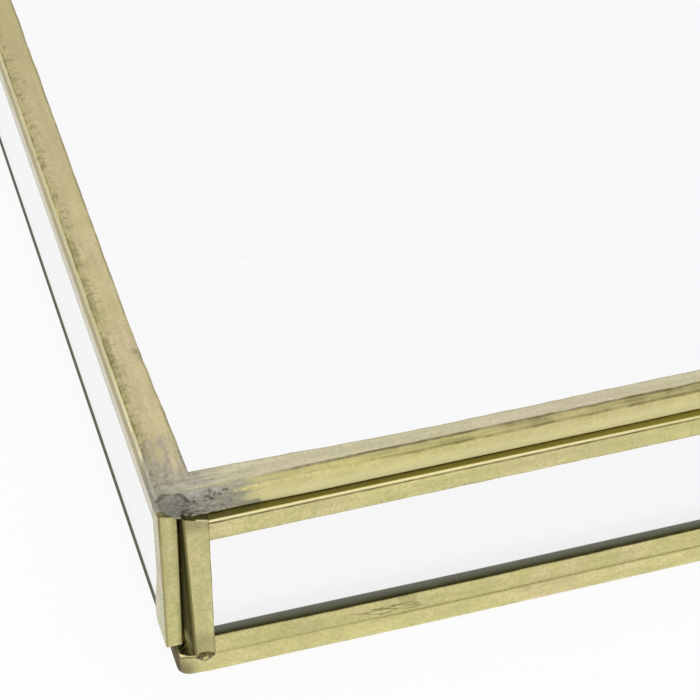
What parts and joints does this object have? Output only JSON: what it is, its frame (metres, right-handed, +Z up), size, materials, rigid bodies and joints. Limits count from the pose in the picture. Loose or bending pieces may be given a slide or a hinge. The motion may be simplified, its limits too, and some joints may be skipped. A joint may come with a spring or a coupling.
{
  "type": "jewelry box",
  "caption": "Low rectangular jewelry box of mirror panes edged with folded, soldered brass strip; lid and sides lift together on pin hinges at the back.",
  "frame": {"origin": "middle of the overall plan rectangle on the table, hinges and solder included", "axes": "+X along the front, to the right as seen from the front; +Y from the front to the hinges at the back; +Z up"},
  "size_m": [0.24, 0.1842, 0.04],
  "materials": {
    "brass": "satin, hand folded, with light tarnish along the seams",
    "mirror": "silvered glass with a bare cut edge",
    "backing": "thin dark felt over the back of the silvering",
    "solder": "rough grey soft solder, lumpy"
  },
  "bodies": {
    "tray": {"back_backing": "backing", "back_bottom_strip": "brass", "back_left_foot_solder": "solder", "back_left_strip": "brass", "back_mirror": "mirror", "back_right_foot_solder": "solder", "back_right_strip": "brass", "back_top_strip": "brass", "base_plate": "mirror", "base_rim": "brass", "front_backing": "backing", "front_bottom_strip": "brass", "front_left_foot_solder": "solder", "front_left_strip": "brass", "front_mirror": "mirror", "front_right_foot_solder": "solder", "front_right_strip": "brass", "front_top_strip": "brass", "left_hinge_pin": "brass", "left_hinge_tray_leaf": "brass", "right_hinge_pin": "brass", "right_hinge_tray_leaf": "brass"},
    "cover": {"left_back_strip": "brass", "left_backing": "backing", "left_front_strip": "brass", "left_hinge_lid_leaf": "brass", "left_mirror": "mirror", "left_top_strip": "brass", "lid_back_left_solder": "solder", "lid_back_right_solder": "solder", "lid_back_strip": "brass", "lid_backing": "backing", "lid_front_left_solder": "solder", "lid_front_right_solder": "solder", "lid_front_strip": "brass", "lid_left_strip": "brass", "lid_mirror": "mirror", "lid_right_strip": "brass", "right_back_strip": "brass", "right_backing": "backing", "right_front_strip": "brass", "right_hinge_lid_leaf": "brass", "right_mirror": "mirror", "right_top_strip": "brass"}
  },
  "joints": [
    {"name": "cover_hinge", "type": "hinge", "parent": "tray", "child": "cover", "pos_m": [0, 0.0905, 0.0352], "axis": [-1, 0, 0], "range_deg": [0, 105]}
  ]
}
